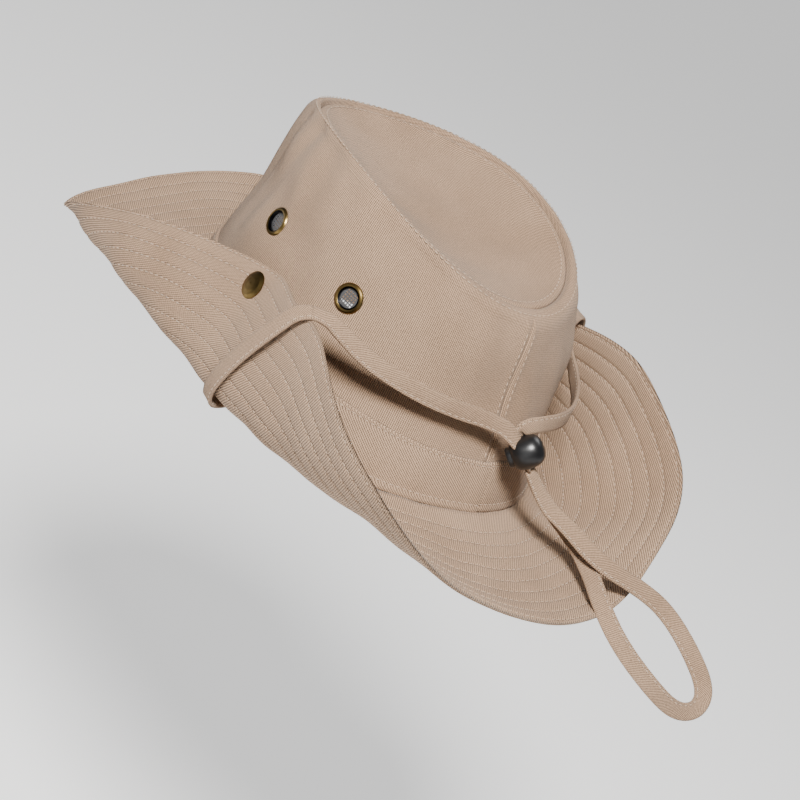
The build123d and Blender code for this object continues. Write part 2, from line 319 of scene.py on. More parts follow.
def add_bump(graph, shader, height, strength, distance):
    """Relief from height, distance metres deep."""
    bump = graph.nodes.new("ShaderNodeBump")
    bump.inputs["Strength"].default_value = strength
    bump.inputs["Distance"].default_value = distance
    graph.links.new(height, bump.inputs["Height"])
    graph.links.new(bump.outputs["Normal"], shader.inputs["Normal"])


def shaded(colour, factor):
    return [min(c * factor, 1.0) for c in colour]


def make_twill(name, colour, pitch=0.95, contrast=0.36):
    """Cotton twill: diagonal ribs of two-tone yarn, washed and a little mottled. pitch is in
    millimetres, from rib to rib."""
    material, graph, shader = node_material(name)
    shader.inputs["Roughness"].default_value = 0.88
    shader.inputs["Specular IOR Level"].default_value = 0.25
    shader.inputs["Sheen Weight"].default_value = 0.06
    shader.inputs["Sheen Roughness"].default_value = 0.5
    flat = graph.nodes.new("ShaderNodeUVMap")
    flat.uv_map = "cloth"
    place = flat.outputs["UV"]
    ribs = add_ribs(graph, place, "X", pitch, distortion=0.9, detail=2.0, detail_scale=1.6)
    yarn = add_ribs(graph, place, "Y", pitch * 0.85, distortion=1.6, detail=1.0)
    slubs = add_noise(graph, place, scale=1.1, detail=4.0)
    weave = add_share(graph, yarn, 0.35, ribs)
    uneven = add_share(graph, slubs, 0.8, weave)
    scaled = graph.nodes.new("ShaderNodeMath")
    scaled.operation = "MULTIPLY"
    scaled.inputs[1].default_value = 0.58
    graph.links.new(uneven, scaled.inputs[0])
    woven = add_ramp(graph, scaled.outputs["Value"], shaded(colour, 1 - 2.0 * contrast),
                     shaded(colour, 1 + 0.9 * contrast), start=0.30)
    cloud = add_noise(graph, object_place(graph), scale=16.0, detail=5.0, roughness=0.6)
    mottling = add_ramp(graph, cloud, (0.76, 0.73, 0.70), (1.0, 1.0, 1.0), start=0.30, end=0.68)
    washed = graph.nodes.new("ShaderNodeMix")
    washed.data_type = "RGBA"
    washed.blend_type = "MULTIPLY"
    washed.inputs["Factor"].default_value = 1.0
    graph.links.new(woven, washed.inputs["A"])
    graph.links.new(mottling, washed.inputs["B"])
    graph.links.new(washed.outputs["Result"], shader.inputs["Base Color"])
    add_bump(graph, shader, uneven, strength=0.8, distance=0.00016)
    return material


def make_thread(name, colour):
    """Twisted sewing thread."""
    material, graph, shader = node_material(name)
    shader.inputs["Roughness"].default_value = 0.62
    shader.inputs["Sheen Weight"].default_value = 0.2
    twist = add_noise(graph, object_place(graph), scale=900.0)
    tone = add_ramp(graph, twist, shaded(colour, 0.7), shaded(colour, 1.2))
    graph.links.new(tone, shader.inputs["Base Color"])
    add_bump(graph, shader, twist, strength=0.5, distance=0.0001)
    return material


def make_brass(name, centre=None):
    """Antique brass, darker in its pits; an eyelet is coloured near black inside its barrel, whose
    middle is centre, in metres."""
    barrel = 0.0052             # metres
    material, graph, shader = node_material(name)
    shader.inputs["Metallic"].default_value = 1.0
    place = object_place(graph)
    patina = add_noise(graph, place, scale=160.0, detail=3.0)
    colour = add_ramp(graph, patina, (0.10, 0.066, 0.022), (0.21, 0.14, 0.05), start=0.32, end=0.62)
    graph.links.new(add_range(graph, patina, 0.42, 0.26), shader.inputs["Roughness"])
    if centre is not None:
        # Every point within barrel of the eyelet's middle is coloured near black instead of brass
        apart = graph.nodes.new("ShaderNodeVectorMath")
        apart.operation = "DISTANCE"
        apart.inputs[1].default_value = centre
        graph.links.new(place, apart.inputs[0])
        inside = graph.nodes.new("ShaderNodeMath")
        inside.operation = "LESS_THAN"
        inside.inputs[1].default_value = barrel
        graph.links.new(apart.outputs["Value"], inside.inputs[0])
        barrel_black = graph.nodes.new("ShaderNodeMix")
        barrel_black.data_type = "RGBA"
        barrel_black.inputs["B"].default_value = (0.006, 0.006, 0.007, 1)
        graph.links.new(inside.outputs["Value"], barrel_black.inputs["Factor"])
        graph.links.new(colour, barrel_black.inputs["A"])
        colour = barrel_black.outputs["Result"]
    graph.links.new(colour, shader.inputs["Base Color"])
    add_bump(graph, shader, patina, strength=0.25, distance=0.0001)
    return material


def make_plain(name, colour, roughness, metallic=0.0):
    """Moulded plastic or plain metal with a fine grain."""
    material, graph, shader = node_material(name)
    shader.inputs["Metallic"].default_value = metallic
    grain = add_noise(graph, object_place(graph), scale=500.0, detail=4.0)
    tone = add_ramp(graph, grain, shaded(colour, 0.8), shaded(colour, 1.25))
    graph.links.new(tone, shader.inputs["Base Color"])
    gloss = add_range(graph, grain, roughness * 0.85, roughness * 1.15)
    graph.links.new(gloss, shader.inputs["Roughness"])
    add_bump(graph, shader, grain, strength=0.3, distance=0.00004)
    return material


twill = make_twill("khaki_twill", (0.365, 0.243, 0.158))
tape_twill = make_twill("tape_twill", (0.35, 0.232, 0.15), pitch=0.75)
lining = make_twill("sweatband_cotton", (0.35, 0.245, 0.17), pitch=0.6, contrast=0.1)
thread = make_thread("khaki_thread", (0.39, 0.275, 0.19))
brass = make_brass("antique_brass")
black_plastic = make_plain("black_plastic", (0.005, 0.005, 0.0055), 0.34)
black_wire = make_plain("black_wire", (0.16, 0.16, 0.165), 0.4, metallic=0.8)
spring_wire = make_plain("spring_wire", (0.5, 0.5, 0.51), 0.3, metallic=1.0)


# ------------------------------------------------------------------ crown and tip
def crown_outline(z):
    """Centre, half length and half width of the crown at height z, from its foot to its rim."""
    part_way = (z - crown_bottom) / (rim_height - crown_bottom)
    half_length = crown_half_length + (rim_half_length - crown_half_length) * part_way
    half_width = crown_half_width + (rim_half_width - crown_half_width) * part_way
    return rim_set_back * part_way, half_length, half_width


def wall_point(t, z, out=0.0):
    """A point at angle t and height z, out from the crown's plain wall."""
    centre, half_length, half_width = crown_outline(z)
    return np.stack([centre + (half_length + out) * np.cos(t), (half_width + out) * np.sin(t),
                     z + 0.0 * t], axis=-1)


def wall_outward(t, z):
    return unit(wall_point(t, z, 1.0) - wall_point(t, z))


def rim_z(t):
    """Height of the rim, which is highest at the sides and lowest in front."""
    return rim_height - rim_front_fall * np.cos(t) - rim_side_rise * np.cos(2 * t)


def tip_z(x, y):
    """Height of the dished tip, x and y from the rim's own centre."""
    return (rim_height - tip_dish - rim_front_fall * x / rim_half_length
            + (tip_dish - rim_side_rise) * (x / rim_half_length) ** 2
            + (tip_dish + rim_side_rise) * (y / rim_half_width) ** 2)


def tip_point(t, share):
    """A point on the tip at share of the way from its middle to the rim."""
    x = share * rim_half_length * np.cos(t)
    y = share * rim_half_width * np.sin(t)
    return np.stack([x + rim_set_back, y, tip_z(x, y)], axis=-1)


def seam_share(t):
    """Where the seam round the tip lies, as a share of the way to the rim."""
    return 1 - rim_round / np.hypot(rim_half_length * np.cos(t), rim_half_width * np.sin(t))


def rim_curve(t, k):
    """The soft edge from the wall (k = 0) over the rim to the tip's seam (k = 1)."""
    corner_lift = 1.4
    top = rim_z(t)
    start = wall_point(t, top - rim_soft)
    corner = wall_point(t, top) + np.array([0, 0, corner_lift])
    finish = tip_point(t, seam_share(t))
    return start * (1 - k) ** 2 + corner * 2 * k * (1 - k) + finish * k ** 2


def crown_sway(t, z):
    """How far the soft wall stands out of its plain shape: folds and dents left by handling."""
    folds = 1.1 * ripple(t * crown_girth, z, 3, 62) * np.clip((z - 20) / 30, 0, 1)
    puckers = 0.5 * ripple(t * crown_girth, z * 0.7, 8, 26) * np.clip((z - 25) / 45, 0, 1)
    sway = folds + puckers
    for angle, lean, width, depth in creases:
        crease = np.exp(-((t - angle - lean * (z - 60)) / width) ** 2)
        sway = sway - depth * crease * np.clip((z - 34) / 30, 0, 1)
    spread = np.where(t > full_angle, full_behind, full_ahead)
    full = np.exp(-((t - full_angle) / spread) ** 2) * np.exp(-((z - full_height) / full_tall) ** 2)
    return sway + full_out * full


def seam_dip(t):
    """The front and back seams pull the cloth in along their lines and leave it full beside them."""
    depth = 0.55
    fullness = 0.30
    distance = np.sin(t) * seam_girth
    groove = np.exp(-(distance / 0.9) ** 2)
    shoulder = np.exp(-((np.abs(distance) - 3.2) / 1.8) ** 2)
    return fullness * shoulder - depth * groove


def wall_surface(t, rows_z, rows_k):
    """Crown wall from its foot to the tip's seam: a (rows, columns, 3) grid and its flat coordinates.
    rows_z are shares of the way up the wall, and rows_k shares of the way over the rim."""
    foot = crown_bottom + 1
    top = rim_z(t) - rim_soft
    over_rim = 9.0              # millimetres of cloth over the rim, on the flat pattern
    grid = []
    flat = []
    for share in rows_z:
        z = foot + share * (top - foot)
        out = crown_sway(t, z) + seam_dip(t)
        grid.append(wall_point(t, z, out))
        flat.append(np.stack([t * crown_girth, z], axis=-1))
    outward = wall_outward(t, top)
    stand = crown_sway(t, top) + seam_dip(t)
    for k in rows_k:
        lift = stand * (1 - k) ** 2
        dip = -tip_seam_depth * np.exp(-((1 - k) * 10 / 0.9) ** 2)
        grid.append(rim_curve(t, k) + outward * lift[..., None] + np.array([0, 0, dip]))
        flat.append(np.stack([t * crown_girth, top + k * over_rim], axis=-1))
    return np.array(grid), np.array(flat)


def dense_angles(low, high, count):
    """Angles from low to high, closer together near both, where the seams are."""
    plain = np.linspace(low, high, 4000)
    density = np.ones_like(plain)
    for seam in (low, high):
        density += 5.0 * np.exp(-((plain - seam) / 0.06) ** 2)
    total = np.cumsum(density)
    total = (total - total[0]) / (total[-1] - total[0])
    return np.interp(np.linspace(0, 1, count), total, plain)


def add_thickness(piece):
    """Cloth's thickness, inwards from the surface."""
    shell = piece.modifiers.new("thickness", "SOLIDIFY")
    shell.thickness = cloth * MM
    shell.offset = -1.0


def build_crown_sides():
    """The two side panels, with a hole behind each eyelet."""
    wall_rows = np.linspace(0, 1, 64)
    rim_rows = np.concatenate([np.linspace(0.06, 0.8, 11), np.linspace(0.84, 1.0, 7)])
    for hand, low, high in (("right", -math.pi, 0.0), ("left", 0.0, math.pi)):
        t = dense_angles(low, high, 260)
        grid, flat = wall_surface(t, wall_rows, rim_rows)
        rows, columns = grid.shape[:2]
        uv = twill_uv(flat[..., 0], flat[..., 1], -0.04)
        points = grid.reshape(-1, 3)
        faces = np.array(grid_faces(rows, columns))
        middles = points[faces].mean(axis=1)
        for end in ("front", "back"):
            apart = np.linalg.norm(middles - box_middle(f"{hand}_{end}_eyelet_ring"), axis=1)
            keep = apart > eyelet_hole
            faces = faces[keep]
            middles = middles[keep]
        piece = new_piece(f"crown_{hand}_side", points, [tuple(map(int, f)) for f in faces],
                          uv.reshape(-1, 2))
        piece.data.materials.append(twill)
        add_thickness(piece)
        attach(piece, "crown")
        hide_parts(f"crown_{hand}_panel")


def build_crown_tip():
    """The dished oval on top, drawn in along its seam and a little slack inside it."""
    t = np.linspace(-math.pi, math.pi, 361)[:-1]
    shares = np.concatenate([1 - np.linspace(0, 0.12, 14), np.linspace(0.86, 0.0, 36)])
    grid = np.array([tip_point(t, seam_share(t) * share) for share in shares])
    from_seam = (1 - shares)[:, None] * tip_radius * np.ones(len(t))
    sag = 0.6 * ripple(grid[..., 0], grid[..., 1], 12, 48) * np.clip(from_seam / 25, 0, 1)
    groove = tip_seam_depth * np.exp(-(from_seam / 0.8) ** 2)
    shoulder = 0.35 * np.exp(-((from_seam - 3.4) / 2.0) ** 2)
    grid[..., 2] += sag + shoulder - groove
    uv = twill_uv(grid[..., 0], grid[..., 1], 2.2)
    rows, columns = grid.shape[:2]
    tip = new_piece("crown_tip_cloth", grid.reshape(-1, 3), grid_faces(rows, columns, wrap_columns=True),
                    uv.reshape(-1, 2))
    tip.data.materials.append(twill)
    add_thickness(tip)
    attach(tip, "crown")
    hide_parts("crown_tip")


def build_crown_stitching():
    """A row each side of the tip's seam, and a row each side of the front and back seams."""
    beside = 3.0                # from a seam to the row of stitches beside it
    proud = 0.4                 # a stitch stands this far out of the wall
    t = np.linspace(-math.pi, math.pi, 721)
    outer = rim_curve(t, 0.52)
    outward = unit(outer - np.array([rim_set_back, 0, rim_height - 22]))
    inner = tip_point(t, seam_share(t) * (1 - 3.2 / tip_radius)) + np.array([0, 0, 0.55])
    up = np.tile(np.array([0, 0, 1.0]), (len(t), 1))
    lines = [(outer + outward * proud, outward), (inner, up)]
    for middle in (0.0, math.pi):
        z = np.linspace(band_height + 1, rim_z(middle) - 7, 60)
        for side in (-1, 1):
            turn = middle + side * beside / band_girth
            angle = np.full(len(z), turn if turn <= math.pi else turn - 2 * math.pi)
            path = wall_point(angle, z, crown_sway(angle, z) + proud)
            lines.append((path, wall_outward(angle, z)))
    piece = stitching("crown_stitching", lines)
    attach(piece, "crown")


# ------------------------------------------------------------------ hatband and sweatband
def base_z(t):
    """Height of the crown's foot, where the brim is sewn on."""
    return base_wave * np.cos(2 * t) + base_front_rise * np.cos(t)


def build_hatband():
    """The band and its two rows of stitches; its last end laps over its first."""
    t = np.linspace(-0.012, 2 * math.pi + 0.02, 520)
    low = base_z(t) - 0.6
    profile = [(0.0, 0.15), (0.0, 1.2), (0.03, 1.65), (0.10, 1.75), (0.16, 1.35), (0.22, 1.65), (0.5, 1.75),
               (0.8, 1.7), (0.90, 1.6), (0.94, 1.3), (0.97, 1.65), (0.995, 1.5), (1.0, 0.9), (1.0, 0.15)]
    lap = 0.75 * np.clip((t - 2 * math.pi + 0.10) / 0.08, 0, 1)
    far_off = 200               # at the back, where the band has no seam
    from_seam = np.sin(t - 0.035) * crown_half_length + np.where(np.cos(t) < 0, far_off, 0)
    seam_pull = 0.85 * np.exp(-(from_seam / 0.7) ** 2)
    grid = []
    flat = []
    for share, out in profile:
        z = low + share * (band_height - low)
        wave = 0.18 * ripple(t * band_girth, z, 21, 30) * (1 if 0.2 < share < 0.9 else 0.3)
        grid.append(wall_point(t, z, out + lap + wave - seam_pull))
        flat.append(np.stack([t * band_girth, z + out], axis=-1))
    grid = np.array(grid)
    flat = np.array(flat)
    rows, columns = grid.shape[:2]
    uv = twill_uv(flat[..., 0], flat[..., 1], 0.95)
    band = new_piece("hatband_cloth", grid.reshape(-1, 3), grid_faces(rows, columns, wrap_rows=True),
                     uv.reshape(-1, 2))
    band.data.materials.append(twill)
    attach(band, "crown")
    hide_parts("hatband")
    row_out = 1.42
    lines = []
    for share in (0.94, 0.16):
        z = low + share * (band_height - low)
        lines.append((wall_point(t, z, row_out + lap), wall_outward(t, z)))
    piece = stitching("hatband_stitching", lines)
    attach(piece, "crown")


def build_sweatband():
    """The cotton band inside the crown's foot."""
    t = np.linspace(0, 2 * math.pi, 361)[:-1]
    profile = [(0.0, -1.3), (0.0, -2.3), (0.05, -2.6), (0.5, -2.4), (0.93, -2.3), (0.96, -2.0), (1.0, -2.2),
               (1.0, -1.3)]
    grid = []
    for share, out in profile:
        z = crown_bottom + share * (sweatband_top - crown_bottom)
        grid.append(wall_point(t, z + 0 * t, out))
    grid = np.array(grid)
    rows, columns = grid.shape[:2]
    uv = twill_uv(np.tile(t * seam_girth, (rows, 1)), grid[..., 2], 0.8)
    piece = new_piece("sweatband_cloth", grid.reshape(-1, 3),
                      grid_faces(rows, columns, wrap_rows=True, wrap_columns=True), uv.reshape(-1, 2))
    piece.data.materials.append(lining)
    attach(piece, "crown")
    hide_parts("sweatband")


# ------------------------------------------------------------------ brim
right_sections = [(-angle, *rest, 0.0) for angle, *rest, _ in reversed(brim_sections[1:])]
stations = np.array(right_sections + brim_sections, float)
station_angles = stations[:, 0]
station_values = stations[:, 1:6].copy()
station_values[:, 3] += stations[:, 6]


def brim_values(angle):
    """Corner, edge and swing at any angle in degrees, smooth between stations and closed at the back."""
    xs = np.concatenate([station_angles[-3:-1] - 360, station_angles, station_angles[1:3] + 360])
    ys = np.concatenate([station_values[-3:-1], station_values, station_values[1:3]])
    slopes = np.gradient(ys, xs, axis=0)
    i = np.clip(np.searchsorted(xs, angle, side="right") - 1, 0, len(xs) - 2)
    step = (xs[i + 1] - xs[i])[:, None]
    k = ((angle - xs[i]) / (xs[i + 1] - xs[i]))[:, None]
    return (ys[i] * (2 * k ** 3 - 3 * k ** 2 + 1) + slopes[i] * step * (k ** 3 - 2 * k ** 2 + k)
            + ys[i + 1] * (3 * k ** 2 - 2 * k ** 3) + slopes[i + 1] * step * (k ** 3 - k ** 2))


def brim_sheet(angle, edge_gaps, depth):
    """Points, upward normals and distances from the crown, on the brim at edge_gaps in from its edge
    and at a depth under its upper face; one row for each gap, one column for each angle in degrees.
    A section is a curve from the crown's foot by its corner to its edge."""
    tuck = 1.0                  # the section starts this far inside the crown's foot
    values = brim_values(angle)
    t = np.radians(angle)
    base = np.stack([crown_half_length * np.cos(t), crown_half_width * np.sin(t), base_z(t)], axis=-1)
    heading = (np.arctan2(np.sin(t) / crown_half_width, np.cos(t) / crown_half_length)
               + np.radians(values[:, 4]) * np.sign(angle))
    out = np.stack([np.cos(heading), np.sin(heading), 0 * heading], axis=-1)
    u = np.linspace(0, 1, 121)[:, None]
    run = -tuck * (1 - u) ** 2 + 2 * u * (1 - u) * values[:, 0] + u ** 2 * values[:, 2]
    rise = 2 * u * (1 - u) * values[:, 1] + u ** 2 * values[:, 3]
    gap = np.hypot(np.diff(run, axis=0), np.diff(rise, axis=0))
    along = np.vstack([np.zeros(len(angle)), np.cumsum(gap, axis=0)])
    grad_run = np.gradient(run, axis=0)
    grad_rise = np.gradient(rise, axis=0)
    points = np.zeros((len(edge_gaps), len(angle), 3))
    normals = np.zeros_like(points)
    widths = np.zeros((len(edge_gaps), len(angle)))
    for j in range(len(angle)):
        target = along[-1, j] - np.asarray(edge_gaps) * (along[-1, j] / brim_width)
        r = np.interp(target, along[:, j], run[:, j])
        h = np.interp(target, along[:, j], rise[:, j])
        dr = np.interp(target, along[:, j], grad_run[:, j])
        dh = np.interp(target, along[:, j], grad_rise[:, j])
        size = np.hypot(dr, dh)
        n_run = -dh / size
        n_rise = dr / size
        points[:, j] = base[j] + out[j] * r[:, None]
        points[:, j, 2] += h
        normals[:, j] = out[j] * n_run[:, None]
        normals[:, j, 2] += n_rise
        widths[:, j] = target
    points = points - normals * np.asarray(depth)[..., None]
    return points, normals, widths


def row_gaps():
    """Distances in from the brim's edge for a mesh that is finer along its stitch rows."""
    gaps = {0.0, 0.7}
    for row in stitch_rows:
        gaps.update(row + apart for apart in (-1.9, -0.9, -0.45, 0, 0.45, 0.9, 1.9, 3.6))
    gaps.update((brim_width - 5.0, brim_width - 2.5, brim_width))
    return np.array(sorted(g for g in gaps if g >= 0))


def quilting(gaps):
    """How far stitch rows draw a layer of the brim in."""
    return sum(row_draw * np.exp(-((gaps - row) / row_half_width) ** 2) for row in stitch_rows)


def brim_swell(hand, angle, gaps):
    """Unevenness of the brim's cloth, which dies away where its two halves meet."""
    seed = 31 if hand == "right" else 32
    from_front = np.clip(np.abs(angle) / 8, 0, 1)
    from_back = np.clip((180 - np.abs(angle)) / 8, 0, 1)
    return 0.45 * ripple(angle * 1.9, gaps, seed, 34) * from_back * from_front


def build_brim():
    """The brim's two halves, each one piece of cloth from the front seam to the back, and their rows."""
    edge_turn = 1.1             # the edge rounds over within this distance
    row_depth = 0.30            # from a face of the brim down to the middle of its stitches
    hair = 1e-6                 # keeps the two halves' shared angle on its own side
    gaps = row_gaps()
    for hand, side, low, high in (("right", -1, -180.0, 0.0), ("left", 1, 0.0, 180.0)):
        angle = np.linspace(low, high, 361)
        signed = np.where(angle == 0, side * hair, angle)
        swell = brim_swell(hand, angle[None, :], gaps[:, None])
        pull = quilting(gaps)[:, None]
        edge_share = ((edge_turn - gaps[:, None]) / edge_turn).clip(0, 1)
        round_edge = brim_thickness / 2 * (1 - np.sqrt(1 - edge_share ** 2))
        upper, _, width = brim_sheet(signed, gaps, swell + pull + round_edge)
        under, _, _ = brim_sheet(signed, gaps, swell + brim_thickness - pull - round_edge)
        loop = np.concatenate([upper[::-1], under], axis=0)
        reach = np.concatenate([width[::-1], width], axis=0) + band_girth
        turn = np.radians(angle)[None, :]
        uv = twill_uv(reach * np.cos(turn), reach * np.sin(turn), 0.9)
        rows, columns = loop.shape[:2]
        piece = new_piece(f"brim_{hand}_half", loop.reshape(-1, 3),
                          grid_faces(rows, columns, wrap_rows=True), uv.reshape(-1, 2))
        piece.data.materials.append(twill)
        across_fold(piece)
        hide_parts(f"{hand}_flap_upper_layer", f"{hand}_flap_under_layer")
        if hand == "right":
            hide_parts("brim_upper_layer", "brim_under_layer")
        lines = []
        for row in stitch_rows:
            lift = brim_swell(hand, angle, row)
            for depth, face in ((row_depth, 1.0), (brim_thickness - row_depth, -1.0)):
                path, normal, _ = brim_sheet(signed, [row], (lift + depth)[None, :])
                lines.append((path[0], normal[0] * face))
        sewn = stitching(f"brim_{hand}_stitching", lines)
        across_fold(sewn)


def across_fold(piece):
    """Writes the piece's placing into its mesh."""
    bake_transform(piece)


# ------------------------------------------------------------------ chin tape
tape_width = 8.0
tape_thickness = 1.5
hem_at = 0.68                   # the tape's row of stitches, as a share of its half width

# The tape's section, as shares of its half width and half thickness; it dips along the stitches
tape_outline = [
    (-1.0, -0.35), (-0.93, -0.85), (-0.6, -0.95), (-0.1, -0.85), (0.55, -1.0), (hem_at, -0.72),
    (0.82, -1.0), (0.95, -0.85), (1.0, -0.3), (1.0, 0.3), (0.95, 0.85), (0.82, 1.0),
    (hem_at, 0.72), (0.55, 1.0), (-0.1, 0.9), (-0.6, 0.95), (-0.93, 0.85), (-1.0, 0.35),
]


def spline_points(name, route):
    """Points along the smooth line whose control points are the route's, in metres."""
    curve = bpy.data.curves.new(name, "CURVE")
    curve.dimensions = "3D"
    spline = curve.splines.new("NURBS")
    spline.points.add(len(route) - 1)
    for point, place in zip(spline.points, route):
        point.co = (*place, 1.0)
    spline.order_u = 3
    spline.use_endpoint_u = True
    spline.resolution_u = 14
    holder = bpy.data.objects.new(name, curve)
    mesh = bpy.data.meshes.new_from_object(holder)
    points = np.array([v.co[:] for v in mesh.vertices])
    bpy.data.objects.remove(holder)
    bpy.data.curves.remove(curve)
    bpy.data.meshes.remove(mesh)
    return points


def ribbon(name, route, facings, narrow):
    """A flat folded tape along a route; facings are directions that its flat side looks in, and narrow
    shares of its full width, each spread evenly from its first end to its last."""
    path = spline_points(name, [tuple(c * MM for c in p) for p in route])
    along = np.concatenate([[0], np.cumsum(np.linalg.norm(np.diff(path, axis=0), axis=1))])
    share = along / along[-1]
    tangent = unit(np.gradient(path, along, axis=0))
    facing = read_along(share, np.linspace(0, 1, len(facings)), np.array(facings, float))
    facing = unit(facing - tangent * np.sum(facing * tangent, axis=1, keepdims=True))
    across = np.cross(tangent, facing)
    widths = np.interp(share, np.linspace(0, 1, len(narrow)), narrow)
    half_width = (tape_width / 2 * MM * widths)[:, None]
    half_thickness = tape_thickness / 2 * MM
    rings = []
    flats = []
    for a, b in tape_outline:
        rings.append(path + across * a * half_width + facing * b * half_thickness)
        flats.append(np.stack([along / MM, np.full(len(along), (a + 0.4 * b) * tape_width / 2)], axis=-1))
    grid = np.stack(rings, axis=1)
    flat = np.stack(flats, axis=1)
    uv = twill_uv(flat[..., 0], flat[..., 1], 0.75)
    rows, columns = grid.shape[:2]
    faces = grid_faces(rows, columns, wrap_columns=True)
    faces += [tuple(range(columns))[::-1], tuple(range((rows - 1) * columns, rows * columns))]
    points = list(grid.reshape(-1, 3) / MM)
    uvs = list(uv.reshape(-1, 2))
    cloth_faces = len(faces)
    lines = []
    for face in (-1.0, 1.0):
        seam = (path + across * hem_at * half_width + facing * face * 0.86 * half_thickness) / MM
        lines.append((seam, facing * face))
    sewn_points, sewn_faces = stitch_mesh(lines)
    first = len(points)
    points += sewn_points
    uvs += [(0.0, 0.0)] * len(sewn_points)
    faces += [tuple(first + i for i in face) for face in sewn_faces]
    piece = new_piece(name, points, faces, uvs)
    piece.data.materials.append(tape_twill)
    piece.data.materials.append(thread)
    for polygon in piece.data.polygons[cloth_faces:]:
        polygon.material_index = 1
    return piece, [tuple(p) for p in path], float(along[-1])


# The cord lock: the tape's two strands run through it side by side, across the button's line
lock_centre = np.array([101.0, 4.0, 40.6])
tape_direction = unit(np.array(joint("cord_lock_slide")["axis"]))
plunger_direction = -unit(np.array(joint("plunger_press")["axis"]))
half_stack = np.cross(tape_direction, plunger_direction) * 1.7


def through_lock(along, strand):
    """A point on strand -1 or 1, along the tape's line through the lock."""
    return tuple(lock_centre + along * tape_direction + strand * half_stack)


# The middle line of each length of tape. The wraps start at the tape's sewn ends under the brim and go
# round its folded edge, the runs go on to the lock, and the loop hangs from it.
routes = {
    "tape_right_wrap": [(11, -77, -8.8), (13, -82.5, -9.2), (15, -89.5, -8.8), (17.5, -96, -5.5),
                        (20, -100.5, 3), (24, -102.4, 14), (29, -103, 27), (34, -102.4, 39),
                        (38, -101, 49), (41.2, -97.6, 59.5), (44, -92.6, 61)],
    "tape_left_wrap": [(11, 77, -8.8), (13, 82.5, -9.2), (14, 89.5, -8.8), (15, 96, -5.5), (16, 100.5, 3),
                       (17, 102.4, 14), (18, 101.8, 27), (19, 99, 39), (19.5, 96, 50),
                       (20.3, 92.2, 64.6), (22.5, 86, 67.5)],
    "tape_right_run": [(44, -92.6, 61), (47.2, -86.9, 61.9), (53.5, -78.5, 57.5), (61, -69, 53),
                       (70, -58, 51), (79, -45, 49.5), (86, -31, 49), (91, -16, 49),
                       through_lock(-11, -1), through_lock(8, -1)],
    "tape_left_run": [(22.5, 86, 67.5), (24.8, 79.6, 69.9), (33.5, 73.5, 64), (44.5, 67.8, 58),
                      (56.5, 62, 55.8), (67, 55.5, 55), (77.5, 47, 54), (87.5, 35.5, 53.2),
                      (94.5, 21.5, 53.8), (97, 9, 53.5), (96.5, 1, 51), through_lock(-9, 1),
                      through_lock(8, 1)],
    "tape_loop": [through_lock(8, -1), through_lock(26, -1), (124, 27, 21), (146, 33, 18),
                  (158.5, 51, 15.5), (168, 64, 11), (184, 72, 3), (197, 80, -8), (203, 74, -15),
                  (201, 62, -17), (193, 46, -9), (177, 33, 0), (161, 28, 8.5), (145, 33, 11.5),
                  (127, 34, 15.5), through_lock(26, 1), through_lock(8, 1)],
}


def mirrored(directions):
    """The same directions on the other side of the hat."""
    return [(x, -y, z) for x, y, z in directions]


# Directions that the tape's flat side looks in, along each length: the runs lie flat against the
# button in the lock, and the loop's strands come out of it turned another way
pressed = tuple(-plunger_direction)
turned = (0.80, -0.25, 0.55)
wrap_facings = [(0, 0, -1), (0, -0.3, -0.95), (0, -1, 0), (0, -1, 0), (0, -1, 0), (0, -1, 0),
                (0, -1, 0.1), (0, -1, 0.3), (0, -0.5, 0.86)]
facings = {
    "tape_right_wrap": wrap_facings,
    "tape_left_wrap": mirrored(wrap_facings),
    "tape_right_run": [(0, -0.5, 0.86), (0.25, -0.7, 0.7), (0.5, -0.8, 0.35), (0.7, -0.7, 0.2),
                       (0.7, -0.6, 0.3), pressed],
    "tape_left_run": [(0, 0.5, 0.86), (0.3, 0.8, 0.5), (0.6, 0.8, 0.1), (0.8, 0.55, 0.1),
                      (0.95, 0.2, 0.2), (0.9, -0.2, 0.4), pressed],
    "tape_loop": [turned, (0.6, -0.6, 0.5), (0.45, -0.6, 0.65), (0.45, -0.55, 0.7), (0.6, -0.5, 0.6),
                  (0.7, -0.6, 0.4), (0.6, -0.7, 0.4), (0.45, -0.7, 0.55), (0.45, -0.7, 0.6),
                  (0.5, -0.65, 0.55), (0.6, -0.6, 0.5), turned],
}
# The tape is squeezed narrower where it goes into the lock
tape_widths = {
    "wrap": [1, 1],
    "run": [1] * 5 + [0.9, 0.55],
    "loop": [0.6, 0.85] + [1] * 10 + [0.85, 0.6],
}


def build_tape(lock_pieces):
    """Five ribbons for the one tape, cut at the flaps' edges and at the lock."""
    for name, route in routes.items():
        hand = name.split("_")[1]
        kind = name.split("_")[-1]
        piece, path, length = ribbon(f"{name}_ribbon", route, facings[name], tape_widths[kind])
        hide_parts(name)
        if kind == "loop":
            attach(piece, "crown")
        elif kind == "run":
            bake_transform(piece)
        else:
            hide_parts(f"tape_{hand}_end")
            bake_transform(piece)


# ------------------------------------------------------------------ cord lock
def lathe(name, profile):
    """A turned piece about the plunger's line through the lock; profile rows are (along, radius)."""
    side = np.cross(plunger_direction, tape_direction)
    turn = np.linspace(0, 2 * math.pi, 73)[:-1]
    spoke = np.cos(turn)[:, None] * tape_direction + np.sin(turn)[:, None] * side
    grid = np.array([lock_centre + along * plunger_direction + radius * spoke for along, radius in profile])
    rows, columns = grid.shape[:2]
    faces = grid_faces(rows, columns, wrap_columns=True)
    faces += [tuple(range(columns))[::-1], tuple(range((rows - 1) * columns, rows * columns))]
    piece = new_piece(name, grid.reshape(-1, 3), faces)
    piece.data.materials.append(black_plastic)
    return piece


